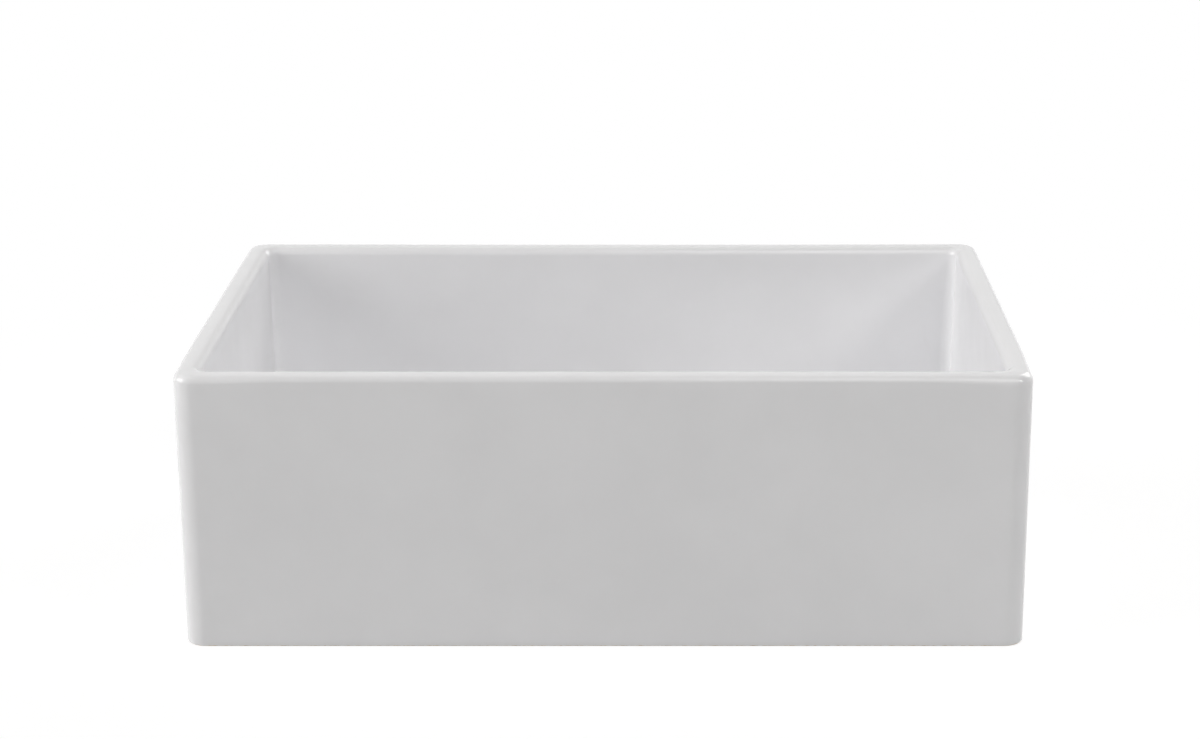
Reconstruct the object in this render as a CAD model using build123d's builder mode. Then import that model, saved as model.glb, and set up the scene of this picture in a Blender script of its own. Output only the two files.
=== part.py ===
from build123d import *
import math
import os

# A farmhouse apron front sink: one piece of glazed fireclay, with a basket strainer waste.
# Millimetres. The origin is the centre of the base plane, +Z is up and the apron faces -Y.

os.makedirs("parts", exist_ok=True)

# ---- driving dimensions ----

# sink body
sink_width = 762.0
sink_depth = 457.0
sink_height = 257.0
wall = 22.0
wall_lean = 5.0  # how far each inner wall leans in between rim and floor
corner_radius = 19.0  # upright outer corners
rim_corner_radius = 10.5  # upright inner corners, at the rim
cove_radius = 11.0  # between the walls and the floor
floor_corner_margin = 1.5  # how much rounder than the cove the upright corners are at the floor
rim_outer_round = 6.0
rim_inner_round = 5.0
foot_round = 1.5
floor_height = 34.0  # bowl floor at the foot of the walls
floor_fall = 4.0  # fall of the floor from its edge to the drain
floor_edge = 5.0  # level strip between the cove and the falling floor
fall_corner_radius = 8.0
field_side_margin = 11.5  # level floor left and right of the drain's recess
field_end_margin = 8.5  # level floor in front of the drain's recess and behind it
field_corner_margin = 2.5
drain_recess_depth = 4.0
recess_clearance = 2.35  # radial, between the recess and the strainer's flange
hole_clearance = 2.2  # radial, between the drain hole and the cup's thread
drain_lip_round = 2.5
foot_band = 46.0  # width of the level band that the sink stands on
foot_recess = 6.5  # how far the underside lies above that band
foot_recess_corner = 24.0
foot_recess_round = 2.0

# strainer body, of pressed sheet
sheet = 1.5
flange_width = 15.15  # how far the flange stands out from the cup
flange_edge = 0.6
cup_diameter = 84.0
cup_depth = 50.0  # from the underside of the flange to the underside of the cup
throat_round = 4.5
cup_round = 7.0
outlet_diameter = 46.0
outlet_length = 18.0
outlet_round = 2.2
putty_thickness = 1.0
putty_margin = 1.2  # how far the putty stays inside the flange's edge and outside the hole

# threads, drawn as rings of the thread's pitch and depth
thread_depth = 0.8
thread_pitch = 2.2
thread_clearance = 0.15
cup_neck = 12.0  # plain length of the cup under the flange
outlet_neck = 3.0  # plain length of the outlet under the cup

# spider and snap ring
spider_arms = 3
spider_arm_width = 3.6
spider_height = 3.0
spider_rim = 1.6
spider_clearance = 0.05
hub_wall = 2.3  # round the groove for the snap ring
hub_height = 8.0
snap_wire = 1.3
snap_opening = 34.0  # degrees left open in the ring
groove_clearance = 0.35
snap_clearance = 0.08  # radial, between the post and the ring
hub_clearance = 0.4  # radial, between the post and the hub

# parts clamped under the sink
clamp_clearance = 0.25  # radial, between the cup's thread and the rings round it
gasket_reach = 10.0  # how far the gasket reaches past the drain hole
gasket_thickness = 5.0
friction_ring_inset = 1.0  # how far the friction ring stays inside the gasket's edge
friction_ring_thickness = 1.0
locknut_width = 10.2  # of the ring, outside the cup's thread
locknut_height = 9.0
locknut_lugs = 8
locknut_lug_reach = 7.0
locknut_lug_width = 11.0
locknut_edge = 1.0

# tailpiece and its joint
tailpiece_step = 3.95  # how much slimmer than the outlet the tube is, on each side
tailpiece_wall = 1.0
tailpiece_length = 101.6
tailpiece_flange_inset = 0.6  # how far the flange stays inside the thread round it
tailpiece_flange_thickness = 1.5
tailpiece_flange_bend = 2.0  # round between the flange and the tube
washer_thickness = 2.0
washer_sleeve_length = 7.0
washer_wall = 1.0
washer_clearance = 0.1
coupling_wall = 4.05  # at the middle of the nut's flats
coupling_height = 16.0
coupling_shoulder = 1.6
coupling_lead = 1.2  # depth of the shoulder's bevel, which clears the tailpiece's bend
coupling_clearance = 0.3
coupling_edge = 1.2

# basket, stopper and post
basket_sheet = 0.8
basket_clearance = 1.2  # radial, between the basket's rim and the cup
basket_rim_width = 2.8
basket_taper = 3.5  # how far the basket's wall leans in between rim and floor
basket_depth = 34.0
basket_rim_round = 1.6
basket_floor_round = 7.0
basket_bead = 2.0
floor_hole_diameter = 3.6
floor_hole_rings = [(20.0, 12), (12.0, 24)]  # inset from the floor's edge and number of holes
wall_hole_diameter = 5.0
wall_hole_count = 24
wall_hole_rows = [11.0, 19.5]  # heights above the basket's floor
seat_gap = 0.3  # between the lowered stopper and the cup's floor
stopper_overlap = 8.0  # how far the stopper reaches past the outlet
stopper_thickness = 5.0
stopper_hollow = 1.8  # depth of the hollow inside the stopper's sealing lip
stopper_lip_width = 8.0
stopper_edge = 1.0
stopper_washer_inset = 8.0  # how far the washer stays inside the stopper's hollow
stopper_washer_thickness = 1.2
stud_diameter = 5.0
stud_clearance = 0.1
stud_height = 30.0  # top of the stud above the underside of the basket
post_diameter = 8.0
post_length = 26.0
post_collar_diameter = 14.0
post_collar_thickness = 1.5
post_tip = 1.5
detent_depth = 0.5
detent_round = 0.9
detent_travel = 10.0  # between the sealed and the draining groove
basket_nut_wall = 1.5  # from the stud to the middle of the nut's flats
basket_nut_height = 4.0
knob_diameter = 19.0
knob_height = 11.0
knob_waist_diameter = 9.0
knob_foot_height = 4.5
knob_round = 2.4
knob_grip = 6.0  # how far the stud runs into the knob

# ---- levels and radii worked out from them ----

bowl_width = sink_width - 2 * wall
bowl_depth = sink_depth - 2 * wall
floor_width = bowl_width - 2 * wall_lean
floor_depth = bowl_depth - 2 * wall_lean
floor_corner_radius = cove_radius + floor_corner_margin
fall_width = floor_width - 2 * (cove_radius + floor_edge)
fall_depth = floor_depth - 2 * (cove_radius + floor_edge)
field_level = floor_height - floor_fall
seat_level = field_level - drain_recess_depth

cup_radius = cup_diameter / 2
cup_thread_radius = cup_radius + thread_depth
flange_radius = cup_radius + flange_width
drain_hole_radius = cup_thread_radius + hole_clearance
drain_recess_radius = flange_radius + recess_clearance
field_width = 2 * (drain_recess_radius + field_side_margin)
field_depth = 2 * (drain_recess_radius + field_end_margin)
field_corner_radius = drain_recess_radius + field_corner_margin

flange_level = seat_level + putty_thickness
cup_underside = flange_level - cup_depth
cup_floor_level = cup_underside + sheet
outlet_level = cup_underside - outlet_length
cup_wall_radius = cup_radius - sheet / 2
outlet_wall_radius = outlet_diameter / 2 - sheet / 2
outlet_bore_radius = outlet_diameter / 2 - sheet
outlet_thread_radius = outlet_diameter / 2 + thread_depth
thread_ridge = thread_depth * math.sqrt(2)
cup_thread_turns = int((cup_depth - cup_round - cup_neck) / thread_pitch)
outlet_thread_turns = int((outlet_length - outlet_neck) / thread_pitch)

gasket_level = foot_recess - gasket_thickness
friction_ring_level = gasket_level - friction_ring_thickness
locknut_level = friction_ring_level - locknut_height
clamp_bore_radius = cup_thread_radius + clamp_clearance
gasket_radius = drain_hole_radius + gasket_reach
friction_ring_radius = gasket_radius - friction_ring_inset
locknut_radius = cup_thread_radius + locknut_width

washer_level = outlet_level - washer_thickness
tailpiece_flange_level = washer_level - tailpiece_flange_thickness
tailpiece_end_level = washer_level - tailpiece_length
tailpiece_radius = outlet_diameter / 2 - tailpiece_step
tailpiece_bore_radius = tailpiece_radius - tailpiece_wall
tailpiece_flange_radius = outlet_thread_radius - tailpiece_flange_inset
tailpiece_bend_radius = tailpiece_radius + tailpiece_flange_bend
sleeve_radius = tailpiece_bore_radius - washer_clearance
coupling_level = tailpiece_flange_level - coupling_shoulder
coupling_bore_radius = outlet_thread_radius + thread_clearance
coupling_apothem = coupling_bore_radius + coupling_wall

post_radius = post_diameter / 2
spider_radius = outlet_bore_radius - spider_clearance
hub_level = cup_underside + sheet / 2 - outlet_round  # top of the spider, where the outlet's bore is straight
hub_foot_level = hub_level - hub_height
snap_ring_level = hub_level - hub_height / 2
snap_ring_radius = post_radius + snap_clearance + snap_wire / 2
groove_radius = snap_ring_radius + snap_wire / 2 + groove_clearance
groove_height = snap_wire + 2 * groove_clearance
hub_radius = groove_radius + hub_wall

stopper_level = cup_floor_level + seat_gap
stopper_hollow_level = stopper_level + stopper_hollow
stopper_washer_level = stopper_hollow_level - stopper_washer_thickness
basket_level = stopper_level + stopper_thickness
basket_rim_level = basket_level + basket_depth
basket_rim_radius = cup_radius - sheet - basket_clearance
basket_mouth_radius = basket_rim_radius - basket_rim_width
basket_floor_radius = basket_mouth_radius - basket_taper
bead_centre_radius = basket_rim_radius - basket_bead / 2
stopper_radius = outlet_diameter / 2 + stopper_overlap
stopper_hollow_radius = stopper_radius - stopper_lip_width
stopper_washer_radius = stopper_hollow_radius - stopper_washer_inset
post_collar_level = stopper_washer_level - post_collar_thickness
post_end_level = post_collar_level - post_length
stud_radius = stud_diameter / 2
stud_bore_radius = stud_radius + stud_clearance
stud_level = basket_level + stud_height
basket_nut_level = basket_level + basket_sheet
knob_level = stud_level - knob_grip

# ---- sink body ----

with BuildPart() as sink_body:
    with BuildSketch():
        RectangleRounded(sink_width, sink_depth, corner_radius)
    extrude(amount=sink_height)
    fillet(sink_body.faces().sort_by(Axis.Z)[-1].edges(), rim_outer_round)
    fillet(sink_body.faces().sort_by(Axis.Z)[0].edges(), foot_round)

    # the bowl: straight walls that lean in, with corners that open out on the way down
    with BuildSketch(Plane.XY.offset(floor_height)):
        RectangleRounded(floor_width, floor_depth, floor_corner_radius)
    with BuildSketch(Plane.XY.offset(sink_height)):
        RectangleRounded(bowl_width, bowl_depth, rim_corner_radius)
    loft(ruled=True, mode=Mode.SUBTRACT)
    bowl_floor = sink_body.faces().filter_by(Axis.Z).sort_by(Axis.Z)[1]
    fillet(bowl_floor.edges(), cove_radius)
    rim_face = sink_body.faces().sort_by(Axis.Z)[-1]
    fillet(rim_face.inner_wires()[0].edges(), rim_inner_round)

    # the floor falls from all sides to a level field round the drain
    with BuildSketch(Plane.XY.offset(floor_height)):
        RectangleRounded(fall_width, fall_depth, fall_corner_radius)
    with BuildSketch(Plane.XY.offset(field_level)):
        RectangleRounded(field_width, field_depth, field_corner_radius)
    loft(ruled=True, mode=Mode.SUBTRACT)

    # the foot band, round a shallow recess in the underside
    with BuildSketch():
        RectangleRounded(sink_width - 2 * foot_band, sink_depth - 2 * foot_band, foot_recess_corner)
    extrude(amount=foot_recess, mode=Mode.SUBTRACT)
    foot_face = sink_body.faces().sort_by(Axis.Z)[0]
    fillet(foot_face.inner_wires()[0].edges(), foot_recess_round)

    # the drain: a recess for the strainer's flange, and the hole
    with Locations((0, 0, field_level)):
        CounterBoreHole(drain_hole_radius, drain_recess_radius, drain_recess_depth)
    field_circles = sink_body.edges().filter_by(GeomType.CIRCLE).filter_by_position(
        Axis.Z, field_level, field_level
    )
    fillet(field_circles.sort_by(SortBy.LENGTH)[-1], drain_lip_round)
sink_body.part.label = "sink_body"
export_step(sink_body.part, "parts/sink_body.step")

# ---- strainer, fixed in the drain ----

with BuildPart() as flange_putty:
    with BuildSketch(Plane.XY.offset(seat_level)):
        Circle(flange_radius - putty_margin)
        Circle(drain_hole_radius + putty_margin, mode=Mode.SUBTRACT)
    extrude(amount=putty_thickness)
flange_putty.part.label = "flange_putty"
export_step(flange_putty.part, "parts/flange_putty.step")

with BuildPart() as strainer_body:
    with BuildSketch(Plane.XZ):
        with BuildLine():
            FilletPolyline(
                (flange_radius, flange_level + sheet / 2),
                (cup_wall_radius, flange_level + sheet / 2),
                (cup_wall_radius, cup_underside + sheet / 2),
                (outlet_wall_radius, cup_underside + sheet / 2),
                (outlet_wall_radius, outlet_level),
                radius=[throat_round, cup_round, outlet_round],
            )
        trace(line_width=sheet)
        cup_turns = [
            (cup_radius, cup_underside + cup_round + thread_pitch * (turn + 0.5))
            for turn in range(cup_thread_turns)
        ]
        outlet_turns = [
            (outlet_diameter / 2, outlet_level + thread_pitch * (turn + 0.5))
            for turn in range(outlet_thread_turns)
        ]
        with Locations(*cup_turns, *outlet_turns):
            Rectangle(thread_ridge, thread_ridge, rotation=45)
    revolve(axis=Axis.Z)
    fillet(strainer_body.faces().sort_by(Axis.Z)[-1].outer_wire().edges(), flange_edge)
strainer_body.part.label = "strainer_body"
export_step(strainer_body.part, "parts/strainer_body.step")

with BuildPart() as strainer_spider:
    with BuildSketch(Plane.XY.offset(hub_level - spider_height)):
        Circle(spider_radius)
        Circle(spider_radius - spider_rim, mode=Mode.SUBTRACT)
        with PolarLocations(0, spider_arms):
            Rectangle(spider_radius - spider_rim / 2, spider_arm_width, align=(Align.MIN, Align.CENTER))
    extrude(amount=spider_height)
    with BuildSketch(Plane.XY.offset(hub_foot_level)):
        Circle(hub_radius)
    extrude(amount=hub_height)
    with Locations((0, 0, hub_level)):
        Hole(post_radius + hub_clearance)
    with BuildSketch(Plane.XY.offset(snap_ring_level)):
        Circle(groove_radius)
    extrude(amount=groove_height / 2, both=True, mode=Mode.SUBTRACT)
strainer_spider.part.label = "strainer_spider"
export_step(strainer_spider.part, "parts/strainer_spider.step")

with BuildPart() as snap_ring:
    with BuildSketch(Plane.XZ):
        with Locations((snap_ring_radius, snap_ring_level)):
            Circle(snap_wire / 2)
    revolve(axis=Axis.Z, revolution_arc=360 - snap_opening)
snap_ring.part.label = "snap_ring"
export_step(snap_ring.part, "parts/snap_ring.step")

# ---- parts clamped under the sink ----

with BuildPart() as strainer_gasket:
    with BuildSketch(Plane.XY.offset(gasket_level)):
        Circle(gasket_radius)
        Circle(clamp_bore_radius, mode=Mode.SUBTRACT)
    extrude(amount=gasket_thickness)
strainer_gasket.part.label = "strainer_gasket"
export_step(strainer_gasket.part, "parts/strainer_gasket.step")

with BuildPart() as friction_ring:
    with BuildSketch(Plane.XY.offset(friction_ring_level)):
        Circle(friction_ring_radius)
        Circle(clamp_bore_radius, mode=Mode.SUBTRACT)
    extrude(amount=friction_ring_thickness)
friction_ring.part.label = "friction_ring"
export_step(friction_ring.part, "parts/friction_ring.step")

with BuildPart() as locknut:
    with BuildSketch(Plane.XY.offset(locknut_level)):
        Circle(locknut_radius)
        with PolarLocations(locknut_radius, locknut_lugs):
            Rectangle(2 * locknut_lug_reach, locknut_lug_width)
        Circle(cup_thread_radius + thread_clearance, mode=Mode.SUBTRACT)
    extrude(amount=locknut_height)
    chamfer(locknut.faces().sort_by(Axis.Z)[0].outer_wire().edges(), locknut_edge)
    chamfer(locknut.faces().sort_by(Axis.Z)[-1].outer_wire().edges(), locknut_edge)
locknut.part.label = "locknut"
export_step(locknut.part, "parts/locknut.step")

# ---- tailpiece and its joint ----

with BuildPart() as tailpiece_washer:
    with BuildSketch(Plane.XZ):
        with BuildLine():
            Polyline(
                (sleeve_radius - washer_wall, outlet_level),
                (outlet_diameter / 2, outlet_level),
                (outlet_diameter / 2, washer_level),
                (sleeve_radius, washer_level),
                (sleeve_radius, washer_level - washer_sleeve_length),
                (sleeve_radius - washer_wall, washer_level - washer_sleeve_length),
                close=True,
            )
        make_face()
    revolve(axis=Axis.Z)
tailpiece_washer.part.label = "tailpiece_washer"
export_step(tailpiece_washer.part, "parts/tailpiece_washer.step")

with BuildPart() as tailpiece:
    with BuildSketch(Plane.XZ):
        with BuildLine():
            Polyline(
                (tailpiece_bore_radius, washer_level),
                (tailpiece_flange_radius, washer_level),
                (tailpiece_flange_radius, tailpiece_flange_level),
                (tailpiece_radius, tailpiece_flange_level),
                (tailpiece_radius, tailpiece_end_level),
                (tailpiece_bore_radius, tailpiece_end_level),
                close=True,
            )
        make_face()
    revolve(axis=Axis.Z)
    flange_circles = tailpiece.edges().filter_by_position(
        Axis.Z, tailpiece_flange_level, tailpiece_flange_level
    )
    fillet(flange_circles.sort_by(SortBy.LENGTH)[0], tailpiece_flange_bend)
tailpiece.part.label = "tailpiece"
export_step(tailpiece.part, "parts/tailpiece.step")

with BuildPart() as coupling_nut:
    with BuildSketch(Plane.XY.offset(coupling_level)):
        RegularPolygon(coupling_apothem, 6, major_radius=False)
        Circle(tailpiece_radius + coupling_clearance, mode=Mode.SUBTRACT)
    extrude(amount=coupling_height)
    with BuildSketch(Plane.XY.offset(tailpiece_flange_level)):
        Circle(coupling_bore_radius)
    extrude(amount=coupling_height, mode=Mode.SUBTRACT)
    with Locations((0, 0, tailpiece_flange_level)):
        Cone(
            tailpiece_radius + coupling_clearance,
            tailpiece_bend_radius + coupling_clearance,
            coupling_lead,
            align=(Align.CENTER, Align.CENTER, Align.MAX),
            mode=Mode.SUBTRACT,
        )
    chamfer(coupling_nut.faces().sort_by(Axis.Z)[0].outer_wire().edges(), coupling_edge)
    chamfer(coupling_nut.faces().sort_by(Axis.Z)[-1].outer_wire().edges(), coupling_edge)
coupling_nut.part.label = "coupling_nut"
export_step(coupling_nut.part, "parts/coupling_nut.step")

# ---- basket, which lifts out of the strainer ----

with BuildPart() as basket_cup:
    with BuildSketch(Plane.XZ):
        with BuildLine():
            FilletPolyline(
                (bead_centre_radius, basket_rim_level - basket_bead / 2),
                (basket_mouth_radius, basket_rim_level - basket_bead / 2),
                (basket_floor_radius, basket_level + basket_sheet / 2),
                (stud_bore_radius, basket_level + basket_sheet / 2),
                radius=[basket_rim_round, basket_floor_round],
            )
        trace(line_width=basket_sheet)
        with Locations((bead_centre_radius, basket_rim_level - basket_bead / 2)):
            Circle(basket_bead / 2)
    revolve(axis=Axis.Z)
    for ring_inset, hole_count in floor_hole_rings:
        with BuildSketch(Plane.XY.offset(basket_level)):
            with PolarLocations(basket_floor_radius - ring_inset, hole_count):
                Circle(floor_hole_diameter / 2)
        extrude(amount=basket_sheet, mode=Mode.SUBTRACT)
    for row_height in wall_hole_rows:
        with Locations((0, 0, basket_level + row_height)):
            with PolarLocations(basket_mouth_radius, wall_hole_count):
                Cylinder(
                    wall_hole_diameter / 2,
                    basket_rim_radius - basket_floor_radius,
                    rotation=(0, 90, 0),
                    mode=Mode.SUBTRACT,
                )
basket_cup.part.label = "basket_cup"
export_step(basket_cup.part, "parts/basket_cup.step")

with BuildPart() as basket_stopper:
    with BuildSketch(Plane.XY.offset(stopper_level)):
        Circle(stopper_radius)
    extrude(amount=stopper_thickness)
    fillet(basket_stopper.edges(), stopper_edge)
    with BuildSketch(Plane.XY.offset(stopper_level)):
        Circle(stopper_hollow_radius)
    extrude(amount=stopper_hollow, mode=Mode.SUBTRACT)
    with Locations((0, 0, basket_level)):
        Hole(stud_bore_radius)
basket_stopper.part.label = "basket_stopper"
export_step(basket_stopper.part, "parts/basket_stopper.step")

with BuildPart() as stopper_washer:
    with BuildSketch(Plane.XY.offset(stopper_washer_level)):
        Circle(stopper_washer_radius)
        Circle(stud_bore_radius, mode=Mode.SUBTRACT)
    extrude(amount=stopper_washer_thickness)
stopper_washer.part.label = "stopper_washer"
export_step(stopper_washer.part, "parts/stopper_washer.step")

with BuildPart() as basket_post:
    with BuildSketch(Plane.XZ):
        with Locations((0, post_end_level)):
            Rectangle(post_radius, post_length, align=(Align.MIN, Align.MIN))
        detent_radius = post_radius + detent_round - detent_depth
        with Locations((detent_radius, snap_ring_level), (detent_radius, snap_ring_level - detent_travel)):
            Circle(detent_round, mode=Mode.SUBTRACT)
        with Locations((0, post_collar_level)):
            Rectangle(post_collar_diameter / 2, post_collar_thickness, align=(Align.MIN, Align.MIN))
        with Locations((0, stopper_washer_level)):
            Rectangle(stud_radius, stud_level - stopper_washer_level, align=(Align.MIN, Align.MIN))
    revolve(axis=Axis.Z)
    chamfer(basket_post.edges().sort_by(Axis.Z)[0], post_tip)
basket_post.part.label = "basket_post"
export_step(basket_post.part, "parts/basket_post.step")

with BuildPart() as basket_nut:
    with BuildSketch(Plane.XY.offset(basket_nut_level)):
        RegularPolygon(stud_radius + basket_nut_wall, 6, major_radius=False)
        Circle(stud_bore_radius, mode=Mode.SUBTRACT)
    extrude(amount=basket_nut_height)
basket_nut.part.label = "basket_nut"
export_step(basket_nut.part, "parts/basket_nut.step")

with BuildPart() as basket_knob:
    with BuildSketch(Plane.XY.offset(knob_level)):
        Circle(knob_waist_diameter / 2)
    extrude(amount=knob_foot_height)
    with BuildSketch(Plane.XY.offset(knob_level + knob_foot_height)):
        Circle(knob_diameter / 2)
    extrude(amount=knob_height - knob_foot_height)
    cap_edges = basket_knob.edges().filter_by(GeomType.CIRCLE).sort_by(SortBy.LENGTH)[-2:]
    fillet(cap_edges, knob_round)
    with BuildSketch(Plane.XY.offset(knob_level)):
        Circle(stud_bore_radius)
    extrude(amount=knob_grip, mode=Mode.SUBTRACT)
basket_knob.part.label = "basket_knob"
export_step(basket_knob.part, "parts/basket_knob.step")
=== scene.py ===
import bpy
import math
import numpy as np
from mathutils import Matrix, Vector


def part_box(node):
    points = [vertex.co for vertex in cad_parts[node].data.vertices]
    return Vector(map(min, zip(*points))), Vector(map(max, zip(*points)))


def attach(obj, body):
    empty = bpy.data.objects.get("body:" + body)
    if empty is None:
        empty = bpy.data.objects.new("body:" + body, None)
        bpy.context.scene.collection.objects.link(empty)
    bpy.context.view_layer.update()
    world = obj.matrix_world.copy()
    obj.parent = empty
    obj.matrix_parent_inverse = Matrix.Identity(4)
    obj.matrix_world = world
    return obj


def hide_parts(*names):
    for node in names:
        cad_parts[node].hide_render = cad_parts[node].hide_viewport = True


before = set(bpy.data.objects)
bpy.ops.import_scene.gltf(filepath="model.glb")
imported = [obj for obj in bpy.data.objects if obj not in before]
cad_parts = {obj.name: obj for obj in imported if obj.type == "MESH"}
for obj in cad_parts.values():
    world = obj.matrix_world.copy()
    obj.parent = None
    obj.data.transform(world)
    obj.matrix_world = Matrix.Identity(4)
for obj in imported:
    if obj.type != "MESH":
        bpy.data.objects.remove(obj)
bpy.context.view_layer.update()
print("frame loaded:", len(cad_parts), "nodes")

mm = 0.001    # every size is in millimetres until its mesh is made


# sRGB hex text to the linear colour that the shaders take
def hexColour(text, alpha=1.0):
    srgb = np.array([int(text[i:i + 2], 16) for i in (1, 3, 5)]) / 255
    linear = np.where(srgb <= 0.04045, srgb / 12.92, ((srgb + 0.055) / 1.055) ** 2.4)
    return (*[float(v) for v in linear], alpha)


# one node: settings are its own fields or its sockets' values, links say what feeds each socket
def addNode(tree, kind, settings=None, links=None):
    node = tree.nodes.new(kind)
    for name, value in (settings or {}).items():
        if isinstance(name, str) and hasattr(node, name):
            setattr(node, name, value)
        else:
            node.inputs[name].default_value = value
    for name, socket in (links or {}).items():
        tree.links.new(socket, node.inputs[name])
    return node


# points and groups of faces (quads, triangles) as a smooth mesh at the origin, turned to face outwards
def meshPiece(name, points, faceGroups):
    volume = 0.0
    for faces in faceGroups:
        for k in range(1, faces.shape[1] - 1):
            a, b, c = points[faces[:, 0]], points[faces[:, k]], points[faces[:, k + 1]]
            volume += np.einsum("ij,ij->", a, np.cross(b, c))
    if volume < 0:
        faceGroups = [faces[:, ::-1] for faces in faceGroups]
    sides = np.concatenate([np.full(len(faces), faces.shape[1]) for faces in faceGroups])
    mesh = bpy.data.meshes.new(name)
    mesh.vertices.add(len(points))
    mesh.vertices.foreach_set("co", (points * mm).astype(np.float32).ravel())
    mesh.loops.add(int(sides.sum()))
    mesh.loops.foreach_set("vertex_index", np.concatenate([f.ravel() for f in faceGroups]).astype(np.int32))
    mesh.polygons.add(len(sides))
    mesh.polygons.foreach_set("loop_start", (np.cumsum(sides) - sides).astype(np.int32))
    mesh.polygons.foreach_set("use_smooth", np.ones(len(sides), dtype=bool))
    mesh.update(calc_edges=True)
    mesh.validate()
    piece = bpy.data.objects.new(name, mesh)
    bpy.context.scene.collection.objects.link(piece)
    return piece


# quads between the rows and columns of a grid of points, closed round either way when asked
def gridFaces(rows, columns, closeRows=False, closeColumns=True):
    i = np.arange(rows if closeRows else rows - 1)
    j = np.arange(columns if closeColumns else columns - 1)
    low, left = np.meshgrid(i, j, indexing="ij")
    high, right = (low + 1) % rows, (left + 1) % columns
    row, nextRow = low * columns, high * columns
    return np.stack([row + left, row + right, nextRow + right, nextRow + left], -1).reshape(-1, 4)


def gridPiece(name, points, closeRows=False, closeColumns=True):
    rows, columns = points.shape[:2]
    return meshPiece(name, points.reshape(-1, 3), [gridFaces(rows, columns, closeRows, closeColumns)])


# a grid of points whose first and last row are each closed by a fan of triangles to one point
def fannedPiece(name, points, firstTip, lastTip):
    rows, columns = points.shape[:2]
    flat = np.concatenate([points.reshape(-1, 3), [firstTip, lastTip]])
    here = np.arange(columns)
    following = (here + 1) % columns
    lastRow = (rows - 1) * columns
    fans = np.concatenate([
        np.stack([np.full(columns, len(flat) - 2), following, here], 1),
        np.stack([np.full(columns, len(flat) - 1), lastRow + here, lastRow + following], 1),
    ])
    return meshPiece(name, flat, [gridFaces(rows, columns), fans])


# a path through (r, z, rounding) corners: each rounded corner is an arc tangent to both its sides
def roundedPath(corners, closed=True, arcSteps=6, longest=None):
    spots = np.array([corner[:2] for corner in corners], float)
    count = len(spots)
    path = []
    for k in range(count):
        here, rounding = spots[k], corners[k][2]
        if rounding == 0 or (not closed and k in (0, count - 1)):
            path.append(here[None])
            continue
        before, after = spots[k - 1] - here, spots[(k + 1) % count] - here
        before, after = before / np.linalg.norm(before), after / np.linalg.norm(after)
        halfTurn = math.acos(np.clip(before @ after, -1, 1)) / 2
        middle = (before + after) / np.linalg.norm(before + after)
        centre = here + middle * rounding / math.sin(halfTurn)
        start = here + before * rounding / math.tan(halfTurn)
        end = here + after * rounding / math.tan(halfTurn)
        first = math.atan2(*(start - centre)[::-1])
        sweep = (math.atan2(*(end - centre)[::-1]) - first + math.pi) % (2 * math.pi) - math.pi
        angle = first + sweep * np.linspace(0, 1, arcSteps + 1)
        path.append(centre + rounding * np.stack([np.cos(angle), np.sin(angle)], 1))
    path = np.concatenate(path)
    if longest is None:
        return path
    ends = np.roll(path, -1, axis=0) if closed else path[1:]
    pieces = []
    for a, b in zip(path, ends):
        share = np.arange(max(1, math.ceil(np.linalg.norm(b - a) / longest)))[:, None]
        pieces.append(a + (b - a) * share / len(share))
    return np.concatenate(pieces if closed else pieces + [path[-1:]])


# revolve a section (r, z): a closed one makes a ring, one from axis to axis gets a fan at each pole.
# shape(r, z, angle) may move the radius of every point
def turnedPiece(name, section, columns=128, shape=None):
    angle = np.linspace(0, 2 * math.pi, columns + 1)[:-1]
    poles = section[0, 0] == 0
    rows = section[1:-1] if poles else section
    r, z, around = np.broadcast_arrays(rows[:, :1], rows[:, 1:], angle)
    if shape is not None:
        r = shape(r, z, around)
    points = np.stack([r * np.cos(around), r * np.sin(around), z], -1)
    if not poles:
        return gridPiece(name, points, closeRows=True)
    return fannedPiece(name, points, (0, 0, section[0, 1]), (0, 0, section[-1, 1]))


# the corners of a ring between two heights, with the rounding of its inner and its outer edges
def ringCorners(bore, outer, low, high, innerEdge, outerEdge):
    return [(bore, low, innerEdge), (outer, low, outerEdge), (outer, high, outerEdge), (bore, high, innerEdge)]


# whether points of a section lie on its wall at this radius
def onWall(r, radius):
    return np.abs(r - radius) < 0.01


# a screw thread: the ridge is a cosine of (z / pitch - angle / whole turn), with its top and foot cut flat, and
# it fades out over half a pitch towards the low and the high end
def threadRidge(z, angle, pitch, depth, low, high):
    wave = 0.5 + 0.5 * np.cos(2 * math.pi * (z / pitch - angle / (2 * math.pi)))
    fade = np.clip((z - low) / (0.5 * pitch), 0, 1) * np.clip((high - z) / (0.5 * pitch), 0, 1)
    return depth * np.clip(1.5 * wave - 0.25, 0, 1) * fade


# low and high corner of a CAD node in millimetres
def nodeBox(node):
    return tuple(np.array(corner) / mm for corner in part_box(node))


seated = []


# the piece takes the node's place, its material slot and its body
def seat(piece, node, slot, body):
    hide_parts(node)
    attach(piece, body)
    seated.append((piece, slot))
    print(node, "->", len(piece.data.polygons), "faces")


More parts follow.
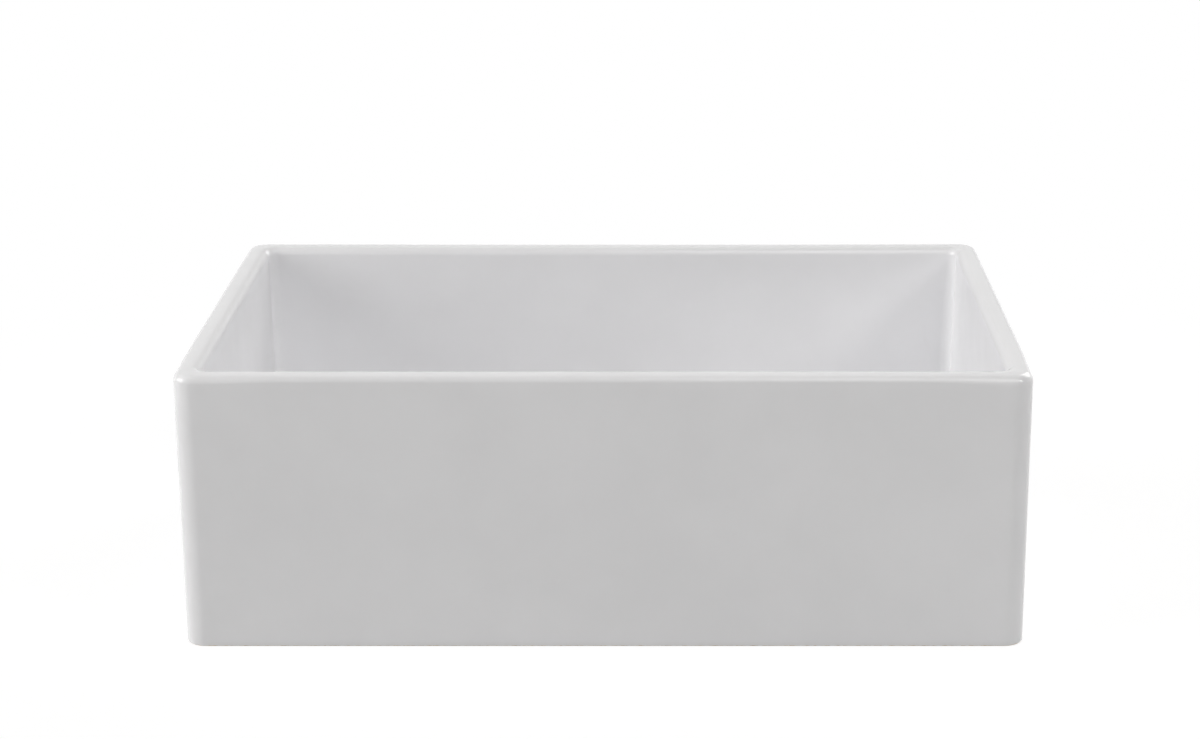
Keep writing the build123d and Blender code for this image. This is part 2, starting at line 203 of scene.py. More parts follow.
# the fireclay body: what the photo hides is guessed, from the floor down
clay = {
    "wall": 22.0,
    "wallLean": 5.0,
    "cornerRadius": 19.0,
    "rimCorner": 10.5,
    "floorCorner": 12.5,
    "cove": 11.0,
    "rimOuterRound": 4.7,
    "rimInnerRound": 7.0,
    "rimCrown": 1.2,        # how much the rim's edges slumped below its middle
    "footRound": 1.5,
    "floorHeight": 34.0,
    "floorFall": 4.0,
    "recessRadius": 59.5,
    "recessDepth": 4.0,
    "holeRadius": 45.0,
    "lipRound": 2.5,
    "edgeRound": 1.0,
    "footBand": 46.0,
    "footRecess": 6.5,
    "footRecessCorner": 24.0,
    "footRecessRound": 2.0,
    "cornerSteps": 16,
    "sideSteps": (84, 56),
    "roundPoints": 15,      # points of the section on a round, and so on
    "edgePoints": 6,
    "wallPoints": 34,
    "topPoints": 9,
    "floorPoints": 30,
    "lipPoints": 9,
    "underPoints": 24,
    "toeInset": 60.0,       # a rough toe of the bowl, which spaces the points of the circle round the waste
    "toeCorner": 10.0,
}


# the outline shared by every level of the sink: a point is the corner-centre rectangle scaled to size,
# pushed out by the corner radius along its normal
def outlineFrame(cornerSteps, sideSteps):
    signs = np.array([(1, 1), (-1, 1), (-1, -1), (1, -1)], float)
    centres, normals = [], []
    for corner in range(4):
        turn = corner * math.pi / 2
        here, following = signs[corner], signs[(corner + 1) % 4]
        angle = turn + np.linspace(0, math.pi / 2, cornerSteps + 1)
        normals.append(np.stack([np.cos(angle), np.sin(angle)], 1))
        centres.append(np.tile(here, (cornerSteps + 1, 1)))
        steps = sideSteps[corner % 2]
        share = np.linspace(0, 1, steps + 1)[1:-1, None]
        centres.append((1 - share) * here + share * following)
        normals.append(np.tile(normals[-1][-1], (steps - 1, 1)))
    return np.concatenate(centres), np.concatenate(normals)


# levels of the sink as rows of (inset from the outer face, inset plus corner radius, height, share of circle,
# circle radius, and how much of the inset and of the depth belongs to the rim's outer round)
def sinkLevels(height):
    c = clay

    def rows(inset, reach, z, share=0.0, radius=0.0, wide=0.0, deep=0.0):
        return np.stack(np.broadcast_arrays(inset, reach, z, share, radius, wide, deep), -1).astype(float)

    def wallShare(z):
        return (height - z) / (height - c["floorHeight"])

    def wallInset(z):
        return c["wall"] + c["wallLean"] * wallShare(z)

    def wallReach(z):
        return wallInset(z) + c["rimCorner"] + (c["floorCorner"] - c["rimCorner"]) * wallShare(z)

    # the rim's top falls away from its middle line as a parabola
    def crowned(inset, z):
        return z - c["rimCrown"] * (2 * inset / c["wall"] - 1) ** 2

    quarter = np.linspace(0, math.pi / 2, c["roundPoints"])
    short = np.linspace(0, math.pi / 2, c["edgePoints"])
    coveTop = c["floorHeight"] + c["cove"]
    fieldLevel = c["floorHeight"] - c["floorFall"]
    seatLevel = fieldLevel - c["recessDepth"]
    edge = c["edgeRound"]
    outer = c["cornerRadius"]

    parts = [rows(c["footRound"] * (1 - np.sin(short)), outer, c["footRound"] * (1 - np.cos(short)))]
    z = np.linspace(c["footRound"], height - c["rimOuterRound"], c["wallPoints"])[1:-1]
    parts.append(rows(0.0, outer, z))
    innerReach = c["wall"] + c["rimCorner"]
    inset = c["rimOuterRound"] * (1 - np.cos(quarter))
    depth = c["rimOuterRound"] * (1 - np.sin(quarter))
    parts.append(rows(inset, outer, crowned(inset, height - depth), wide=inset, deep=depth))
    share = np.linspace(0, 1, c["topPoints"])[1:-1]
    inset = c["rimOuterRound"] + share * (c["wall"] - c["rimOuterRound"] - c["rimInnerRound"])
    reach = outer + (innerReach - outer) * share
    parts.append(rows(inset, reach, crowned(inset, height), wide=c["rimOuterRound"] * (1 - share)))
    inset = c["wall"] - c["rimInnerRound"] * (1 - np.sin(quarter))
    parts.append(rows(inset, innerReach, crowned(inset, height - c["rimInnerRound"] * (1 - np.cos(quarter)))))
    z = np.linspace(height - c["rimInnerRound"], coveTop, c["wallPoints"])[1:-1]
    parts.append(rows(wallInset(z), wallReach(z), z))
    z = coveTop - c["cove"] * np.sin(quarter)
    inset = wallInset(coveTop) + c["cove"] * (1 - np.cos(quarter))
    parts.append(rows(inset, wallReach(z), z))
    toeInset, toeReach = inset[-1], wallReach(z[-1])
    share = np.linspace(0, 1, c["floorPoints"])[1:]
    lipRadius = c["recessRadius"] + c["lipRound"]
    parts.append(rows(toeInset, toeReach, c["floorHeight"] - c["floorFall"] * share, share, lipRadius))
    lip = np.linspace(0, math.pi / 2, c["lipPoints"])[1:]
    radius = lipRadius - c["lipRound"] * np.sin(lip)
    parts.append(rows(0, 0, fieldLevel - c["lipRound"] * (1 - np.cos(lip)), 1, radius))
    rise, run = edge * (1 - np.sin(short)), edge * (1 - np.cos(short))
    parts.append(rows(0, 0, seatLevel + rise, 1, c["recessRadius"] - run))
    parts.append(rows(0, 0, seatLevel - run, 1, c["holeRadius"] + rise))
    parts.append(rows(0, 0, c["footRecess"] + rise, 1, c["holeRadius"] + run))
    share = np.linspace(1, 0, c["underPoints"])[1:]
    footReach = c["footBand"] + c["footRecessCorner"]
    parts.append(rows(c["footBand"], footReach, c["footRecess"], share, c["holeRadius"] + edge))
    inset = c["footBand"] - c["footRecessRound"] * (1 - np.cos(short))
    parts.append(rows(inset, footReach, c["footRecessRound"] * (1 - np.sin(short))))
    return np.concatenate(parts)


# how firing bent the body, and how much rounder its rim was wiped by hand near each corner, as the photo's
# outline shows
warp = {
    "backSag": 0.8,
    "sideLean": 1.4,
    "ripple": 0.18,
    "waves": ((2.1, 1.3, 0.0), (5.3, -2.2, 1.0), (4.1, 3.7, 2.0)),    # across, up and start of each sine
    "wiped": {(-1, -1): 1.8, (1, -1): 3.2, (-1, 1): 1.4, (1, 1): 0.4},
    "wipedReach": 45.0,
}


# the back of the rim sags as a parabola, the side walls lean in towards the rim, and the large faces carry a
# shallow ripple, a sum of three sine waves
def bendInFiring(points, low, high):
    middle, half = (low + high) / 2, (high - low) / 2
    across = (points[..., 0] - middle[0]) / half[0]
    along = (points[..., 1] - middle[1]) / half[1]
    up = np.clip((points[..., 2] - low[2]) / (high[2] - low[2]), 0, 1)
    drop = warp["backSag"] * (1 - across ** 2) * np.clip((along + 1) / 2, 0, 1) ** 2
    lean = warp["sideLean"] * across * up
    wave = sum(np.sin(wide * across + tall * up + start) for wide, tall, start in warp["waves"])
    face = np.clip(np.abs(along) * 2 - 1, 0, 1)
    bent = points.copy()
    bent[..., 2] -= drop * up ** 2
    bent[..., 0] -= lean
    bent[..., 1] -= np.sign(along) * warp["ripple"] * (0.5 + wave / 6) * face * up
    return bent


# growth of the rim's outer round in every column as a share, a Gauss curve of the distance from each corner
def wipedRound(spots, half):
    extra = np.zeros(len(spots))
    for corner, growth in warp["wiped"].items():
        apart = np.hypot(spots[:, 0] - corner[0] * half[0], spots[:, 1] - corner[1] * half[1])
        extra += growth * np.exp(-(apart / warp["wipedReach"]) ** 2)
    return extra / clay["rimOuterRound"]


# all points of the body: every level is the outline at its own inset and corner radius, and the floor and the
# underside blend from it to a circle round the waste
def sinkPoints(low, high):
    half = (high - low)[:2] / 2
    centres, normals = outlineFrame(clay["cornerSteps"], clay["sideSteps"])
    inset, reach, z, share, radius, wide, deep = (sinkLevels(high[2])[:, k, None] for k in range(7))
    growth = wipedRound(centres * half, half)
    inset, z = inset + growth * wide, z - growth * deep
    corner = (reach - inset)[..., None]
    straight = centres * (half - inset[..., None] - corner) + corner * normals
    toe = centres * (half - clay["toeInset"]) + normals * clay["toeCorner"]
    angle = np.arctan2(toe[:, 1], toe[:, 0])
    circle = radius[..., None] * np.stack([np.cos(angle), np.sin(angle)], -1)
    flat = (1 - share[..., None]) * straight + share[..., None] * circle
    return bendInFiring(np.concatenate([flat, z[..., None]], -1), low, high)


def buildSinkBody():
    return gridPiece("fireclay_body", sinkPoints(*nodeBox("sink_body")), closeRows=True)


seat(buildSinkBody(), "sink_body", "fireclay_glaze", "sink")


strainer = {
    "sheet": 1.5,
    "flangeEdge": 0.6,
    "cupRadius": 42.0,
    "throatRound": 4.5,
    "cupRound": 7.0,
    "outletRadius": 23.0,
    "outletLength": 18.0,
    "outletRound": 2.2,
    "threadDepth": 0.8,
    "pitch": 2.2,
    "cupNeck": 12.0,        # plain lengths above and below the cup's thread and the outlet's
    "cupStart": 1.0,
    "outletNeck": 3.0,
    "outletStart": 0.6,
    "cutEdge": 0.3,
    "columns": 160,
}


# pressed sheet as one closed section: flange, cup and outlet, with rolled threads round cup and outlet
def buildStrainer():
    s, (low, high) = strainer, nodeBox("strainer_body")
    sheet, flange = s["sheet"], high[0]
    top, bottom = high[2], low[2]
    cupFoot = bottom + s["outletLength"]
    cup, outlet = s["cupRadius"], s["outletRadius"]
    inside = [
        (flange, top, s["flangeEdge"]),
        (cup - sheet, top, s["throatRound"] + sheet / 2),
        (cup - sheet, cupFoot + sheet, s["cupRound"] - sheet / 2),
        (outlet - sheet, cupFoot + sheet, s["outletRound"] + sheet / 2),
        (outlet - sheet, bottom, s["cutEdge"]),
    ]
    outside = [
        (outlet, bottom, s["cutEdge"]),
        (outlet, cupFoot, s["outletRound"] - sheet / 2),
        (cup, cupFoot, s["cupRound"] + sheet / 2),
        (cup, top - sheet, s["throatRound"] - sheet / 2),
        (flange, top - sheet, s["cutEdge"]),
    ]
    section = roundedPath(inside + outside, arcSteps=8, longest=0.4)

    def rolledThreads(r, z, angle):
        cupEnds = cupFoot + s["cupRound"] + s["cupStart"], top - s["cupNeck"]
        outletEnds = bottom + s["outletStart"], cupFoot - s["outletNeck"]
        cupThread = threadRidge(z, angle, s["pitch"], s["threadDepth"], *cupEnds)
        outletThread = threadRidge(z, angle, s["pitch"], s["threadDepth"], *outletEnds)
        return r + onWall(r, cup) * cupThread + onWall(r, outlet) * outletThread

    return turnedPiece("strainer_pressing", section, s["columns"], rolledThreads)


seat(buildStrainer(), "strainer_body", "stainless_sheet", "sink")

putty = {"innerRadius": 46.2, "outsideFrom": 50.0, "squeeze": 0.35, "edge": 0.45}


# putty pressed flat between flange and seat: its outer edge wanders by a sum of sine waves, always inwards
def buildPutty():
    low, high = nodeBox("flange_putty")
    corners = ringCorners(putty["innerRadius"], high[0], low[2], high[2], putty["edge"], putty["edge"])

    def squeezed(r, z, angle):
        wander = 0.5 + (np.sin(3 * angle) + np.sin(7 * angle + 1) + np.sin(16 * angle + 2)) / 6
        return r - (r > putty["outsideFrom"]) * putty["squeeze"] * wander

    return turnedPiece("putty_bead", roundedPath(corners), columns=192, shape=squeezed)


seat(buildPutty(), "flange_putty", "putty", "sink")

snapRing = {"opening": 34.0, "wire": 1.3, "endShare": 0.02, "turnSteps": 96, "wireSteps": 16, "endPoints": 7}


# a sprung ring: a wire's circle swept along an open arc, with a half ball on each end
def buildSnapRing():
    low, high = nodeBox("snap_ring")
    radius, wire = high[0] - snapRing["wire"] / 2, snapRing["wire"] / 2
    height = (low[2] + high[2]) / 2
    quarter = np.linspace(0, math.pi / 2, snapRing["endPoints"])
    endTurn = wire / radius
    turn = math.radians(360 - snapRing["opening"])
    along = np.concatenate([
        endTurn * (1 - np.cos(quarter)),
        np.linspace(endTurn, turn - endTurn, snapRing["turnSteps"]),
        turn - endTurn * (1 - np.sin(quarter)),
    ])
    slim = np.concatenate([np.sin(quarter), np.ones(snapRing["turnSteps"]), np.cos(quarter)])
    slim = wire * np.maximum(slim, snapRing["endShare"])[:, None]
    wireAngle = np.linspace(0, 2 * math.pi, snapRing["wireSteps"] + 1)[:-1]
    r, z = radius + slim * np.cos(wireAngle), height + slim * np.sin(wireAngle)
    points = np.stack([r * np.cos(along)[:, None], r * np.sin(along)[:, None], z], -1)
    return fannedPiece("snap_wire", points, *points[[0, -1]].mean(1))


seat(buildSnapRing(), "snap_ring", "turned_steel", "post_ring")

# the rings clamped under the sink
clampRings = {
    "strainer_gasket": {"name": "rubber_gasket", "slot": "black_rubber", "bore": 43.05, "edge": 0.6},
    "friction_ring": {"name": "fibre_ring", "slot": "red_fibre", "bore": 43.05, "edge": 0.15},
}


def buildClampRing(node, ring):
    low, high = nodeBox(node)
    corners = ringCorners(ring["bore"], high[0], low[2], high[2], ring["edge"], ring["edge"])
    return turnedPiece(ring["name"], roundedPath(corners, arcSteps=4), columns=160)


for node, ring in clampRings.items():
    seat(buildClampRing(node, ring), node, ring["slot"], "sink")

lockRing = {
    "radius": 53.0,
    "bore": 42.95,
    "lugs": 8,
    "lugWidth": 11.0,
    "lugFlank": 1.6,
    "edge": 1.0,
    "boreEdge": 0.5,
    "castBlend": 3.0,       # depth of the ring that swells out into the lugs
    "pitch": 2.2,
    "threadDepth": 0.8,
    "threadEnd": 0.4,
    "columns": 384,
}


# the locknut's outline: the ring, raised to each lug's flat end through a smooth step at its two flanks
def buildLocknut():
    l, (low, high) = lockRing, nodeBox("locknut")
    reach = high[0] - l["radius"]
    middle = l["radius"] + reach / 2
    corners = ringCorners(l["bore"], l["radius"], low[2], high[2], l["boreEdge"], l["edge"])
    section = roundedPath(corners, longest=0.5)

    def castShape(r, z, angle):
        pitchAngle = 2 * math.pi / l["lugs"]
        offset = np.abs((angle + pitchAngle / 2) % pitchAngle - pitchAngle / 2) * middle
        step = np.clip((l["lugWidth"] / 2 - offset) / l["lugFlank"] + 1, 0, 1)
        step = step * step * (3 - 2 * step)
        outward = np.clip((r - (l["radius"] - l["castBlend"])) / l["castBlend"], 0, 1)
        ends = low[2] + l["threadEnd"], high[2] - l["threadEnd"]
        thread = threadRidge(z, angle, l["pitch"], l["threadDepth"], *ends)
        return r + outward * step * reach + onWall(r, l["bore"]) * thread

    return turnedPiece("cast_locknut", section, l["columns"], castShape)


seat(buildLocknut(), "locknut", "zinc_casting", "sink")

tail = {
    "radius": 19.05,
    "wall": 1.0,
    "flangeThickness": 1.5,
    "flangeBend": 2.0,
    "flangeEdge": 0.4,
    "cutEdge": 0.3,
    "sleeveClearance": 0.1,
    "washerWall": 1.0,
    "washerThickness": 2.0,
    "washerBend": 0.2,
}


def buildTailpiece():
    t, (low, high) = tail, nodeBox("tailpiece")
    bore, flange, under = t["radius"] - t["wall"], high[0], high[2] - t["flangeThickness"]
    corners = [
        (bore, high[2], t["flangeEdge"]), (flange, high[2], t["flangeEdge"]), (flange, under, t["flangeEdge"]),
        (t["radius"], under, t["flangeBend"]), (t["radius"], low[2], t["cutEdge"]), (bore, low[2], t["cutEdge"]),
    ]
    return turnedPiece("chromed_tailpiece", roundedPath(corners, longest=6.0))


def buildTailpieceWasher():
    t, (low, high) = tail, nodeBox("tailpiece_washer")
    sleeve = t["radius"] - t["wall"] - t["sleeveClearance"]
    bore, under = sleeve - t["washerWall"], high[2] - t["washerThickness"]
    corners = [
        (bore, high[2], t["flangeEdge"]), (high[0], high[2], t["flangeEdge"]), (high[0], under, t["cutEdge"]),
        (sleeve, under, t["washerBend"]), (sleeve, low[2], t["cutEdge"]), (bore, low[2], t["cutEdge"]),
    ]
    return turnedPiece("moulded_washer", roundedPath(corners, arcSteps=4))


seat(buildTailpiece(), "tailpiece", "chromed_tube", "sink")
seat(buildTailpieceWasher(), "tailpiece_washer", "white_polyethylene", "sink")

coupling = {
    "bore": 19.35,
    "nutBore": 23.95,
    "shoulder": 1.6,
    "lead": 1.2,
    "leadReach": 2.0,
    "cornerCircle": 32.3,   # the circle to which the hexagon's corners are turned down
    "chamfer": 1.2,
    "chamferSlope": 1.6,
    "castBlend": 3.0,
    "outerEdge": 0.6,
    "mouthEdge": 0.5,
    "boreEdge": 0.2,
    "shoulderEdge": 0.3,
    "leadEdge": 0.1,
    "pitch": 2.2,
    "threadDepth": 0.6,
    "threadFoot": 1.0,
    "threadEnd": 0.4,
    "columns": 288,
}


# radius of a regular hexagon at an angle, with a corner on the X axis
def hexRadius(angle, apothem):
    return apothem / np.cos(angle % (math.pi / 3) - math.pi / 6)


# a six-sided casting: the hexagon's corners are turned down to a circle, more so at the two ends
def buildCouplingNut():
    c, (low, high) = coupling, nodeBox("coupling_nut")
    apothem = high[1]
    shoulder = low[2] + c["shoulder"]
    corners = [
        (c["bore"], low[2], c["boreEdge"]), (apothem, low[2], c["outerEdge"]), (apothem, high[2], c["outerEdge"]),
        (c["nutBore"], high[2], c["mouthEdge"]), (c["nutBore"], shoulder, c["shoulderEdge"]),
        (c["bore"] + c["leadReach"], shoulder, c["boreEdge"]), (c["bore"], shoulder - c["lead"], c["leadEdge"]),
    ]
    section = roundedPath(corners, arcSteps=4, longest=0.5)

    def castShape(r, z, angle):
        ends = np.minimum(high[2] - z, z - low[2])
        turned = c["cornerCircle"] - c["chamfer"] * np.clip(1 - ends / c["chamfer"], 0, 1) * c["chamferSlope"]
        outline = np.minimum(hexRadius(angle, apothem), turned)
        outward = np.clip((r - (apothem - c["castBlend"])) / c["castBlend"], 0, 1)
        threadEnds = shoulder + c["threadFoot"], high[2] - c["threadEnd"]
        thread = threadRidge(z, angle, c["pitch"], c["threadDepth"], *threadEnds)
        return r + outward * (outline - apothem) + onWall(r, c["nutBore"]) * thread

    return turnedPiece("cast_coupling", section, c["columns"], castShape)


seat(buildCouplingNut(), "coupling_nut", "zinc_casting", "sink")

# the basket, which lifts out of the strainer
basket = {
    "sheet": 0.8,
    "boreRadius": 2.6,
    "mouthRadius": 36.5,
    "floorRadius": 33.0,
    "bead": 2.0,
    "rimRound": 1.6,
    "floorRound": 7.0,
    "floorRings": ((13.0, 12), (21.0, 24)),
    "floorHole": 3.6,
    "floorCell": 0.62,      # reach of a hole's cell as a share of its diameter
    "wallRows": (11.0, 19.5),
    "wallHole": 5.0,
    "wallCell": 0.8,
    "wallHoles": 24,
    "columns": 384,
    "cellSteps": 12,
    "cellRings": (0, 0.12, 0.4, 0.7, 1.0),
    "bendSteps": 10,
    "beadEnd": 0.9,         # half turns from straight out, round and under, to the bead's end
    "beadPoints": 14,
}


# middle line of the basket's sheet as (r, z): floor, bend, wall, rim, and the bead curled at its edge
def basketLine(low, high):
    b = basket
    rimRadius = high[0] - b["bead"] / 2
    floor, rim = low[2] + b["sheet"] / 2, high[2] - b["sheet"] / 2
    curl = (b["bead"] - b["sheet"]) / 2
    corners = [(b["boreRadius"], floor, 0), (b["floorRadius"], floor, b["floorRound"]),
               (b["mouthRadius"], rim, b["rimRound"]), (rimRadius, rim, 0)]
    line = roundedPath(corners, closed=False, arcSteps=b["bendSteps"])
    angle = np.linspace(math.pi / 2, -math.pi * b["beadEnd"], b["beadPoints"])[1:]
    bead = np.stack([rimRadius + curl * np.cos(angle), rim - curl + curl * np.sin(angle)], 1)
    return np.concatenate([line, bead])


# the perforated sheet is laid out flat as (length along the middle line, angle) and then mapped onto the line:
# plain bands are strips of a grid, and a row of holes is a row of cells, each a few rings that blend a circle
# into the cell's rectangle. Points that coincide are merged
def buildBasketCup():
    b, (low, high) = basket, nodeBox("basket_cup")
    line = basketLine(low, high)
    length = np.concatenate([[0], np.cumsum(np.linalg.norm(np.diff(line, axis=0), axis=1))])
    columns = b["columns"]

    def onLine(s):
        return np.interp(s, length, line[:, 0]), np.interp(s, length, line[:, 1])

    rowsOfHoles = [
        (radius - b["boreRadius"], count, b["floorHole"] / 2, b["floorCell"] * b["floorHole"])
        for radius, count in b["floorRings"]
    ]
    rising = 2 * (b["bendSteps"] + 1)    # points of the line up to the rim, on which z only grows
    for height in b["wallRows"]:
        s = np.interp(low[2] + height, line[:rising, 1], length[:rising])
        rowsOfHoles.append((s, b["wallHoles"], b["wallHole"] / 2, b["wallCell"] * b["wallHole"]))

    flat, quads, used = [], [], 0
    cuts = [0.0]
    for s, count, radius, reach in rowsOfHoles:
        across, along = columns // count, b["cellSteps"]
        cellAngle = 2 * math.pi / count
        u = np.linspace(-1, 1, along + 1)
        v = np.linspace(-1, 1, across + 1)
        border = np.concatenate([
            np.stack([np.full(across, -1.0), v[:-1]], 1),
            np.stack([u[:-1], np.full(along, 1.0)], 1),
            np.stack([np.full(across, 1.0), v[::-1][:-1]], 1),
            np.stack([u[::-1][:-1], np.full(along, -1.0)], 1),
        ])
        r, _ = onLine(s)
        outer = border * [reach, cellAngle / 2]
        turn = np.arctan2(outer[:, 1] * r, outer[:, 0])
        circle = radius * np.stack([np.cos(turn), np.sin(turn) / r], 1)
        share = np.array(b["cellRings"])[:, None, None]
        cell = circle[None] * (1 - share) + outer[None] * share
        faces = gridFaces(len(share), len(border))[:, ::-1]
        for k in range(count):
            flat.append((cell + [s, k * cellAngle]).reshape(-1, 2))
            quads.append(faces + used)
            used += len(flat[-1])
        cuts += [s - reach, s + reach]
    cuts.append(length[-1])
    angle = np.linspace(0, 2 * math.pi, columns + 1)[:-1]
    apart = 0.05    # the line's own points this close to a strip's end are left out
    for start, end in zip(cuts[::2], cuts[1::2]):
        steps = length[(length > start + apart) & (length < end - apart)]
        stops = np.unique(np.concatenate([[start], steps, [end]]))
        s, a = np.meshgrid(stops, angle, indexing="ij")
        flat.append(np.stack([s, a], -1).reshape(-1, 2))
        quads.append(gridFaces(len(stops), columns) + used)
        used += len(flat[-1])
    flat, quads = np.concatenate(flat), np.concatenate(quads)
    r, z = onLine(flat[:, 0])
    points = np.stack([r * np.cos(flat[:, 1]), r * np.sin(flat[:, 1]), z], 1)
    _, first, same = np.unique(np.round(points, 4), axis=0, return_index=True, return_inverse=True)
    piece = meshPiece("perforated_basket", points[first], [same.reshape(-1)[quads]])
    thicken = piece.modifiers.new("sheet", "SOLIDIFY")
    thicken.thickness = b["sheet"] * mm
    thicken.offset = 0
    return piece


seat(buildBasketCup(), "basket_cup", "stainless_sheet", "basket")

stopper = {
    "bore": 2.6,
    "boreEdge": 0.3,
    "hollow": 1.8,
    "hollowRound": 0.6,
    "lip": 8.0,
    "lipInside": 1.2,
    "lipOutside": 1.6,
    "edge": 1.0,
    "washerEdge": 0.2,
    "washerFoot": 0.4,
}


# a moulded disc, hollow underneath inside its sealing lip, which is rounded where it seals
def buildStopper():
    s, (low, high) = stopper, nodeBox("basket_stopper")
    inner, hollow = high[0] - s["lip"], low[2] + s["hollow"]
    corners = [
        (s["bore"], hollow, s["boreEdge"]), (inner, hollow, s["hollowRound"]), (inner, low[2], s["lipInside"]),
        (high[0], low[2], s["lipOutside"]), (high[0], high[2], s["edge"]), (s["bore"], high[2], s["boreEdge"]),
    ]
    return turnedPiece("rubber_stopper", roundedPath(corners, longest=3.0), columns=160)


seat(buildStopper(), "basket_stopper", "black_rubber", "basket")


def buildStopperWasher():
    s, (low, high) = stopper, nodeBox("stopper_washer")
    corners = [(s["bore"], low[2], s["washerEdge"]), (high[0], low[2], s["washerFoot"]),
               (high[0], high[2], s["washerEdge"]), (s["bore"], high[2], s["washerEdge"])]
    return turnedPiece("pressed_washer", roundedPath(corners, arcSteps=4), columns=96)


seat(buildStopperWasher(), "stopper_washer", "stainless_sheet", "basket")

post = {
    "radius": 4.0,
    "length": 26.0,
    "tip": 1.5,
    "collarRadius": 7.0,
    "collar": 1.5,
    "stud": 2.5,
    "detentDepth": 0.5,
    "detentRound": 0.9,
    "groovePoints": 13,
    "travel": 10.0,
    "edge": 0.3,
    "studEdge": 0.4,
    "studPitch": 0.8,
    "studThread": 0.3,
    "threadFoot": 3.0,
    "threadEnd": 0.8,
    "threadStep": 0.12,
    "columns": 96,
}


# a turned pin: two round-bottomed grooves for the snap ring, a collar, and the threaded stud above it
def buildPost():
    p, (low, high) = post, nodeBox("basket_post")
    sealed = np.mean([corner[2] for corner in nodeBox("snap_ring")])
    foot, top = low[2] + p["length"], low[2] + p["length"] + p["collar"]
    centre = p["radius"] + p["detentRound"] - p["detentDepth"]
    half = math.acos((centre - p["radius"]) / p["detentRound"])
    groove = math.pi + np.linspace(half, -half, p["groovePoints"])
    rows = [[(0, low[2]), (p["radius"] - p["tip"], low[2]), (p["radius"], low[2] + p["tip"])]]
    arc = p["detentRound"] * np.stack([np.cos(groove), np.sin(groove)], 1)
    for level in (sealed - p["travel"], sealed):
        rows.append(arc + [centre, level])
    rows.append([
        (p["radius"], foot - p["edge"]), (p["collarRadius"] - p["edge"], foot),
        (p["collarRadius"], foot + p["edge"]), (p["collarRadius"], top - p["edge"]),
        (p["collarRadius"] - p["edge"], top), (p["stud"], top),
        (p["stud"], high[2] - p["studEdge"]), (p["stud"] - p["studEdge"], high[2]), (0, high[2]),
    ])
    section = np.concatenate([np.array(part, float) for part in rows])
    fine = [section[:1]]
    for a, b in zip(section[:-1], section[1:]):
        onStud = a[0] == b[0] == p["stud"]
        steps = math.ceil(np.linalg.norm(b - a) / p["threadStep"]) if onStud else 1
        fine.append(a + (b - a) * np.linspace(0, 1, steps + 1)[1:, None])
    section = np.concatenate(fine)

    def studThread(r, z, angle):
        ends = foot + p["threadFoot"], high[2] - p["threadEnd"]
        return r - onWall(r, p["stud"]) * threadRidge(z, angle, p["studPitch"], p["studThread"], *ends)

    return turnedPiece("turned_post", section, p["columns"], studThread)


seat(buildPost(), "basket_post", "turned_steel", "basket")

nut = {
    "bore": 2.6,
    "boreEdge": 0.15,
    "outerEdge": 0.1,
    "cornerCircle": 4.62,
    "chamfer": 0.35,
    "chamferSlope": 1.2,
    "blend": 1.0,
    "columns": 144,
}


def buildBasketNut():
    n, (low, high) = nut, nodeBox("basket_nut")
    apothem = high[1]
    corners = ringCorners(n["bore"], apothem, low[2], high[2], n["boreEdge"], n["outerEdge"])
    section = roundedPath(corners, arcSteps=3, longest=0.25)

    def hexShape(r, z, angle):
        ends = np.minimum(high[2] - z, z - low[2])
        turned = n["cornerCircle"] - n["chamferSlope"] * np.clip(n["chamfer"] - ends, 0, 1)
        outward = np.clip((r - (apothem - n["blend"])) / n["blend"], 0, 1)
        return r + outward * (np.minimum(hexRadius(angle, apothem), turned) - apothem)

    return turnedPiece("hex_nut", section, n["columns"], hexShape)


seat(buildBasketNut(), "basket_nut", "turned_steel", "basket")

knob = {
    "bore": 2.6,
    "boreDepth": 6.0,
    "boreEdge": 0.3,
    "boreEnd": 0.2,
    "waist": 4.5,
    "waistEdge": 0.4,
    "waistHeight": 4.5,
    "waistRound": 1.2,
    "capRound": 2.4,
    "dishRadius": (5.2, 6.2),
    "dishDepth": 0.35,
    "dishRound": 0.8,
}


# a turned knob: narrow waist, wide cap with rounded edges and a shallow dish in its top
def buildKnob():
    k, (low, high) = knob, nodeBox("basket_knob")
    blind, cap, dish = low[2] + k["boreDepth"], low[2] + k["waistHeight"], high[2] - k["dishDepth"]
    inner, outer = k["dishRadius"]
    corners = [
        (0, blind, 0), (k["bore"], blind, k["boreEnd"]), (k["bore"], low[2], k["boreEdge"]),
        (k["waist"], low[2], k["waistEdge"]), (k["waist"], cap, k["waistRound"]), (high[0], cap, k["capRound"]),
        (high[0], high[2], k["capRound"]), (outer, high[2], k["dishRound"]),
        (inner, dish, k["dishRound"]), (0, dish, 0),
    ]
    return turnedPiece("turned_knob", roundedPath(corners, closed=False, arcSteps=8, longest=1.0), columns=160)


seat(buildKnob(), "basket_knob", "turned_steel", "basket")


# a fresh material and its Principled shader, with plain values on its own sockets
def startMaterial(name, values):
    material = bpy.data.materials.new(name)
    material.use_nodes = True
    tree = material.node_tree
    shader = tree.nodes["Principled BSDF"]
    for socket, value in values.items():
        shader.inputs[socket].default_value = value
    return material, tree, shader


# every pattern is read in its piece's own coordinates
def ownPlace(tree):
    return addNode(tree, "ShaderNodeTexCoord").outputs["Object"]


